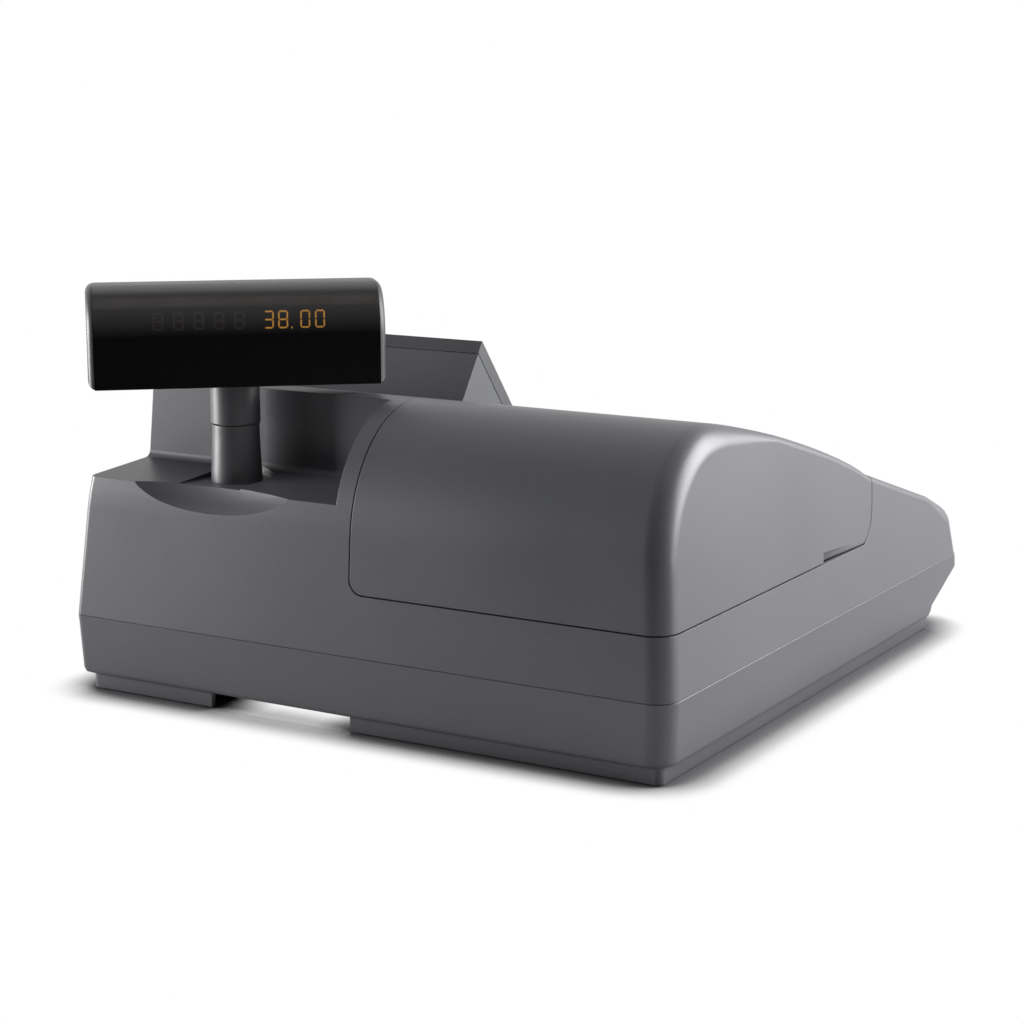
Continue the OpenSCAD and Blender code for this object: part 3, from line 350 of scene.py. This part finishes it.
def dressed(node, carved=None):
    """A copy of a node's mesh with its flat faces whole and smooth shading."""
    bm = bmesh.new()
    bm.from_mesh(NODES[node].data)
    bmesh.ops.remove_doubles(bm, verts=bm.verts, dist=SAME_POINT)
    bmesh.ops.dissolve_limit(bm, angle_limit=FLAT_ANGLE, verts=bm.verts, edges=bm.edges)
    name = node + "_shell"
    o = finish_piece(name, mesh_of(name, bm), BODY_OF[node], SLOT_OF[node], (node,))
    smooth_sharp(o, SHARP_CASE, carved)


# the leaning barrel that cuts the finger dish into the ledge's back edge
LEDGE_EDGE = (94.2 * MM, 189.4754 * MM, 121.5 * MM)
DISH_W, DISH_DEEP, DISH_CROWN = 111 * MM, 9.2 * MM, 22 * MM
DISH_R = ((DISH_W / 2) ** 2 + DISH_DEEP ** 2) / (2 * DISH_DEEP)
DISH_LEAN = Matrix.Rotation(math.radians(-52), 4, "X")
ON_ITS_SIDE = Matrix.Rotation(math.radians(-90), 4, "X")
BARREL = Matrix.Translation(LEDGE_EDGE) @ DISH_LEAN
BARREL = BARREL @ Matrix.Translation((0, 0, DISH_R - DISH_DEEP)) @ ON_ITS_SIDE
INTO_BARREL = BARREL.inverted()


def on_dish(p):
    q = INTO_BARREL @ p
    return abs(q.xy.length - DISH_R + q.z ** 2 / (2 * DISH_CROWN)) < 0.1 * MM


# ---------------------------------------------------------------- carried-over and dressed nodes
for node, o in NODES.items():
    o.data.materials.clear()
    o.data.materials.append(MATERIALS[SLOT_OF[node]])

dressed("upper_case", carved=on_dish)
for node in ("lower_case", "printer_cover", "display_hood", "hood_bezel", "head_shell",
             "head_lens", "pole_base", "pole_tube"):
    dressed(node)

# ---------------------------------------------------------------- keyboard
DECK_MID = (0.0, -0.130, 0.09727)
DECK_RISE = 0.302
DECK = Matrix.Translation(DECK_MID) @ Matrix.Rotation(math.atan(DECK_RISE), 4, "X")
# half sizes of a key cap; the long ones cover two rows
CAP_W, CAP_D, CAP_LONG = 8.5 * MM, 7.6 * MM, 16.85 * MM
LONG_KEYS = ("key_total", "key_void")
CAP_FOOT, CAP_STEP, CAP_SKIRT, CAP_TOP = -4.2 * MM, -0.8 * MM, -0.7 * MM, 4.6 * MM
CAP_LEAN_W, CAP_LEAN_D, CAP_LIP = 1.5 * MM, 1.3 * MM, 0.12 * MM
CAP_EDGE = 0.7 * MM
CAP_R, CAP_R_MORE, CAP_R_TOP, CAP_R_DISH = 1.0 * MM, 0.6 * MM, 1.6 * MM, 1.4 * MM
DISH = 0.45 * MM
SIGN_PROUD, SIGN_THICK = 0.06 * MM, 0.08 * MM


def round_rect(w, d, r, z, n=5):
    """Corner points of a rounded rectangle at height z, anticlockwise."""
    pts = []
    for cx, cy, a0 in ((w - r, d - r, 0), (r - w, d - r, 90), (r - w, r - d, 180), (w - r, r - d, 270)):
        for k in range(n + 1):
            a = math.radians(a0 + 90 * k / n)
            pts.append(Vector((cx + r * math.cos(a), cy + r * math.sin(a), z)))
    return pts


def wrap(bm, rings, place):
    """Faces between rings that all have the same number of points, closed over the last one."""
    rows = [[bm.verts.new(place @ p) for p in ring] for ring in rings]
    n = len(rows[0])
    for a, b in zip(rows, rows[1:]):
        for k in range(n):
            bm.faces.new((a[k], a[(k + 1) % n], b[(k + 1) % n], b[k]))
    bm.faces.new(rows[-1])
    return rows


def key_cap(node):
    """A key with a rounded top edge and a shallow dish."""
    lo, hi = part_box(node)
    at = DECK.inverted() @ ((lo + hi) / 2)
    place = DECK @ Matrix.Translation((at.x, at.y, 0))
    w, d = CAP_W, CAP_LONG if node in LONG_KEYS else CAP_D
    top_w, top_d = w - CAP_LEAN_W, d - CAP_LEAN_D
    rings = [round_rect(w, d, CAP_R, CAP_FOOT), round_rect(w, d, CAP_R, CAP_STEP)]
    for f in (0.0, 0.35, 0.7):
        rings.append(round_rect(w - f * CAP_LEAN_W, d - f * CAP_LEAN_D, CAP_R + f * CAP_R_MORE,
                                CAP_SKIRT + f * CAP_TOP))
    for a in (0, 30, 60, 90):
        inset = CAP_EDGE * (1 - math.cos(math.radians(a))) - CAP_LIP
        drop = CAP_EDGE * (1 - math.sin(math.radians(a)))
        rings.append(round_rect(top_w - inset, top_d - inset, CAP_R_TOP, CAP_TOP - drop))
    for f in (0.88, 0.7, 0.5, 0.3, 0.12):
        rings.append(round_rect(top_w * f, top_d * f, CAP_R_DISH * f, CAP_TOP - DISH * (1 - f * f)))
    bm = bmesh.new()
    rows = wrap(bm, rings, place)
    bm.faces.new(list(reversed(rows[0])))
    o = finish_piece(node + "_cap", mesh_of("cap", bm), node, SLOT_OF[node], (node,))
    smooth_sharp(o, SHARP_CAP)
    return place


def sign(node, text, place):
    """A printed character lying in the dish of a key."""
    c = bpy.data.curves.new(node + "_sign", "FONT")
    c.body = text
    c.size = (7.5 if len(text) == 1 else 6.5) * MM
    c.align_x = "CENTER"
    c.align_y = "CENTER"
    c.extrude = SIGN_THICK
    o = bpy.data.objects.new(node + "_sign", c)
    bpy.context.scene.collection.objects.link(o)
    o.matrix_world = place @ Matrix.Translation((0, 0, CAP_TOP - DISH + SIGN_PROUD))
    c.materials.append(MATERIALS["ink" if SLOT_OF[node] == "key_white" else "paint"])
    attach(o, node)


SIGNS = {"key_00": "00", "key_point": ".", "key_quantity": "×", "key_total": "="}
SIGNS.update({"key_%d" % k: str(k) for k in range(10)})
for node in NODES:
    if node.startswith("key_"):
        spot = key_cap(node)
        if node in SIGNS:
            sign(node, SIGNS[node], spot)

PAD_COLUMNS, PAD_ROWS = 10, 5
PAD_MARGIN, PAD_REACH, PAD_GAP, PAD_R = 2 * MM, 44.5 * MM, 0.6 * MM, 1.5 * MM
# how far in and how high each ring of a pillow lies, in mm
PILLOW = ((0, -0.42), (0.15, -0.2), (0.5, -0.12), (1.2, -0.1))


def membrane_cells():
    """Fifty blank cells of the membrane panel, each a low pillow."""
    lo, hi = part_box("plu_overlay")
    x0 = lo.x + PAD_MARGIN
    across = (hi.x - PAD_MARGIN - x0) / PAD_COLUMNS
    up = 2 * PAD_REACH / PAD_ROWS
    w, d = across / 2 - PAD_GAP, up / 2 - PAD_GAP
    bm = bmesh.new()
    for i in range(PAD_COLUMNS):
        for j in range(PAD_ROWS):
            place = DECK @ Matrix.Translation((x0 + (i + 0.5) * across, (j + 0.5) * up - PAD_REACH, 0))
            wrap(bm, [round_rect(w - s * MM, d - s * MM, PAD_R, z * MM, 4) for s, z in PILLOW], place)
    o = finish_piece("membrane_cells", mesh_of("cells", bm), "case", "key_white")
    smooth_sharp(o, SHARP_CAP)


membrane_cells()

# ---------------------------------------------------------------- digits
POLE_TOP = (0.1002, 0.1555, 0.177)
HEAD = Matrix.Translation(POLE_TOP) @ Matrix.Rotation(math.radians(40.7), 4, "Z")
# each bar's place across and up, in half digits, and whether it stands
BARS = {"a": (0, 1, 0), "d": (0, -1, 0), "g": (0, 0, 0), "f": (-1, 0.5, 1), "b": (1, 0.5, 1),
        "e": (-1, -0.5, 1), "c": (1, -0.5, 1)}
GLYPHS = {"0": "abcdef", "3": "abgcd", "8": "abcdefg", ".": ""}
BAR_GAP = 0.35
BAR_THICK = 0.05 * MM


def digits(name, spots, size, place, body, material):
    """Seven-bar digits: spots lists (text, centre across, centre up); place maps (across, up, out)."""
    wide, high, stroke = size
    bm = bmesh.new()
    t = stroke / 2
    for text, cx, cz in spots:
        outlines = []
        if text == ".":
            outlines.append([(cx - t, cz - t), (cx + t, cz - t), (cx + t, cz + t), (cx - t, cz + t)])
        for s in GLYPHS[text]:
            sx, sz, upright = BARS[s]
            x, z = cx + sx * (wide / 2 - t), cz + sz * (high / 2 - t)
            half = (high / 4 - t / 2 if upright else wide / 2 - t) - t * BAR_GAP
            run = ((-half, 0), (t - half, t), (half - t, t), (half, 0), (half - t, -t), (t - half, -t))
            outlines.append([(x + (q if upright else p), z + (p if upright else q)) for p, q in run])
        for outline in outlines:
            bm.faces.new([bm.verts.new(place @ Vector((p, q, 0))) for p, q in outline])
    bmesh.ops.recalc_face_normals(bm, faces=bm.faces)
    o = finish_piece(name, mesh_of(name, bm), body, "tube_glass", material=material)
    thick = o.modifiers.new("thick", "SOLIDIFY")
    thick.thickness = BAR_THICK
    thick.offset = 0.0


def front_of(node, towards):
    """Placement on a node's largest flat face that looks one way: across, up and out of the face."""
    best = {}
    for f in NODES[node].data.polygons:
        if f.normal.dot(towards) > 0.7:
            key = tuple(round(v, 2) for v in f.normal) + (round(f.normal.dot(f.center), 4),)
            area, centre_sum, _ = best.get(key, (0.0, Vector(), None))
            best[key] = (area + f.area, centre_sum + f.center * f.area, f.normal.copy())
    area, centre_sum, out = max(best.values(), key=lambda v: v[0])
    across = Vector((-out.y, out.x, 0)).normalized()
    place = Matrix((across, out.cross(across), out)).transposed().to_4x4()
    place.translation = centre_sum / area
    return place


# across runs towards the reader's right, up is up, out is towards the customer
TUBE_FRONT = 11.6 * MM
FACE = HEAD @ Matrix(((-1, 0, 0, 0), (0, 0, 1, TUBE_FRONT), (0, 1, 0, 0), (0, 0, 0, 1)))
PRICE_UP, POINT_UP = 34.7 * MM, 30.3 * MM
PRICE = (("3", 18.4), ("8", 26.1), ("0", 38.1), ("0", 46.1))
IDLE_FIRST, IDLE_PITCH, IDLE_COUNT = -41.0 * MM, 10.9 * MM, 5
digits("price_digits", [(ch, x * MM, PRICE_UP) for ch, x in PRICE] + [(".", 30.8 * MM, POINT_UP)],
       (5.4 * MM, 9.6 * MM, 0.85 * MM), FACE, "display", "amber")
# the idle segments are unlit; their faint glow is painted light
digits("idle_digits", [("8", k * IDLE_PITCH + IDLE_FIRST, PRICE_UP) for k in range(IDLE_COUNT)],
       (5.6 * MM, 9.4 * MM, 0.9 * MM), FACE, "display", "ghost")
LCD = front_of("operator_lcd", Vector((0.0, -0.7, 0.7))) @ Matrix.Translation((0, 0, 0.1 * MM))
TOTAL = (("0", 14.0), (".", 20.5), ("0", 27.0), ("0", 37.5))
digits("screen_digits", [(ch, x * MM, 0.0) for ch, x in TOTAL], (7.0 * MM, 13.0 * MM, 1.3 * MM),
       LCD, "case", "lcd_ink")

# ---------------------------------------------------------------- stage
FLOOR = 0.6
# how far the painted contact shadow on the floor reaches
CONTACT = 0.03
HEADING = Vector((0.5045, -0.8634, 0.0))


def seen_straight(t):
    """1 for rays the eye, a reflection or a clear piece sends out, 0 for light going round."""
    path = add(t, "ShaderNodeLightPath").outputs
    eye_or_mirror = maths(t, "MAXIMUM", path["Is Camera Ray"], path["Is Glossy Ray"])
    return maths(t, "MAXIMUM", eye_or_mirror, path["Is Transmission Ray"])


def white_floor():
    """Matt paper that goes over to plain white away from whatever stands on it, with a painted contact
    shadow near it on top of the lamps' real shadow.
    """
    m, t, p, c = start("floor_white")
    p.inputs["Roughness"].default_value = 0.7
    p.inputs["Specular IOR Level"].default_value = 0.0
    near = add(t, "ShaderNodeAmbientOcclusion", samples=16)
    near.inputs["Distance"].default_value = CONTACT
    clear = near.outputs["AO"]
    fibre = remap(t, noise(t, c, scale=3.0), 0.0, 1.0)
    matt = blend_colour(t, fibre, (0.80, 0.80, 0.80), (0.84, 0.84, 0.84))
    # painted shadow: where ambient occlusion finds the object close, the floor colour darkens towards
    # near black
    tone = blend_colour(t, remap(t, clear, 0.0, 1.0, 0.8, 0.99), (0.12, 0.12, 0.125), matt)
    link(t, tone, p.inputs["Base Color"])
    glow = add(t, "ShaderNodeEmission")
    glow.inputs["Strength"].default_value = 1.0
    # painted shadow: the white glow also gives way to the darker floor where ambient occlusion finds
    # the object close
    away = maths(t, "MULTIPLY", remap(t, clear, 0.0, 1.0, 0.54, 0.96), seen_straight(t))
    out = next(n for n in t.nodes if n.type == "OUTPUT_MATERIAL")
    link(t, blend_shader(t, away, p.outputs[0], glow.outputs[0]), out.inputs[0])
    return m


def studio(name):
    """A white backdrop on one side of the room, a dim room on the other, and a soft ceiling."""
    world = bpy.data.worlds.new(name)
    world.use_nodes = True
    t = world.node_tree
    t.nodes.clear()
    way = add(t, "ShaderNodeTexCoord").outputs["Generated"]
    toward = add(t, "ShaderNodeVectorMath", operation="DOT_PRODUCT")
    link(t, way, toward.inputs[0])
    toward.inputs[1].default_value = HEADING
    backdrop = remap(t, toward.outputs["Value"], 0.0, 1.0, -0.15, 0.35)
    parts = add(t, "ShaderNodeSeparateXYZ")
    link(t, way, parts.inputs[0])
    ceiling = remap(t, parts.outputs["Z"], 0.05, 0.6, -0.06, 0.9)
    room = maths(t, "MAXIMUM", backdrop, ceiling)
    camera_ray = add(t, "ShaderNodeLightPath").outputs["Is Camera Ray"]
    bright = add(t, "ShaderNodeBackground")
    link(t, maths(t, "MAXIMUM", room, camera_ray), bright.inputs["Strength"])
    soft = add(t, "ShaderNodeBackground")
    soft.inputs["Strength"].default_value = 0.065
    for background in (bright, soft):
        background.inputs["Color"].default_value = (1, 1, 1, 1)
    seen = blend_shader(t, seen_straight(t), soft.outputs[0], bright.outputs[0])
    link(t, seen, add(t, "ShaderNodeOutputWorld").inputs[0])
    return world


def area_light(name, place, aim, size, power, mirrored=True):
    d = bpy.data.lights.new(name, "AREA")
    d.shape = "RECTANGLE"
    d.size, d.size_y = size
    d.energy = power
    o = bpy.data.objects.new(name, d)
    bpy.context.scene.collection.objects.link(o)
    o.location = place
    o.rotation_euler = (Vector(aim) - Vector(place)).to_track_quat("-Z", "Y").to_euler()
    o.visible_camera = False
    o.visible_glossy = mirrored


ground = bpy.data.meshes.new("floor")
corners = [(-FLOOR, -FLOOR, 0), (FLOOR, -FLOOR, 0), (FLOOR, FLOOR, 0), (-FLOOR, FLOOR, 0)]
ground.from_pydata(corners, [], [(0, 1, 2, 3)])
floor = bpy.data.objects.new("floor", ground)
bpy.context.scene.collection.objects.link(floor)
ground.materials.append(white_floor())
bpy.context.scene.world = studio("studio")
area_light("top_light", (-0.3, 0.3, 1.4), (-0.1, 0.0, 0.1), (0.8, 0.6), 7.0, mirrored=False)
area_light("side_light", (-1.3, -0.9, 0.7), (-0.15, 0.0, 0.1), (1.4, 1.2), 75.0)
area_light("left_light", (1.1, 0.6, 0.22), (0.1, 0.15, 0.15), (0.5, 0.4), 20.0)

# ---------------------------------------------------------------- camera
EYE = Vector((-0.6684, 1.1701, 0.3597))
PITCH = math.radians(11.44)
look = Vector((HEADING.x * math.cos(PITCH), HEADING.y * math.cos(PITCH), -math.sin(PITCH)))
cam = bpy.data.cameras.new("camera")
cam.lens = 81.9
cam.sensor_width = 36.0
camera = bpy.data.objects.new("camera", cam)
bpy.context.scene.collection.objects.link(camera)
camera.location = EYE
camera.rotation_euler = look.to_track_quat("-Z", "Y").to_euler()
bpy.context.scene.camera = camera
bpy.context.scene.view_settings.view_transform = "Standard"
